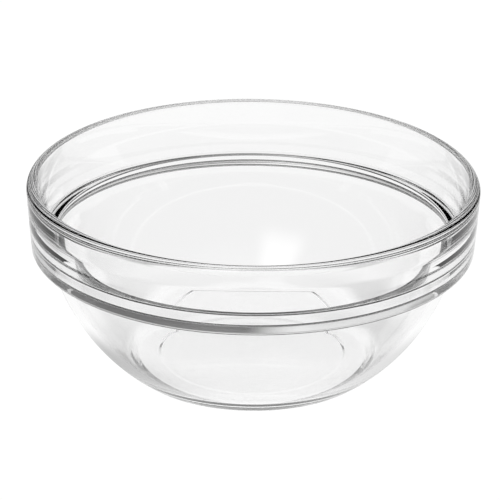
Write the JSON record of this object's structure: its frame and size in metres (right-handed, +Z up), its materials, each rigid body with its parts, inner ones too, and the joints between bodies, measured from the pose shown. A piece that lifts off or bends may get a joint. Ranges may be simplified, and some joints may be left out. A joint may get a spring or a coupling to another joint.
{
  "type": "prep bowl",
  "caption": "Round clear glass stacking prep bowl with a rounded rim, a stacking lip below a slightly tapered collar, a ball-shaped body and a flat foot ring.",
  "frame": {"origin": "centre of the foot ring, on the plane that the bowl stands on", "axes": "+Z up along the bowl's axis of revolution, towards the open mouth; X and Y lie in the standing plane and are interchangeable"},
  "size_m": [0.17, 0.17, 0.075],
  "materials": {
    "glass": "clear, fire-polished, glossy"
  },
  "bodies": {
    "root": {"bowl": "glass"}
  },
  "joints": []
}
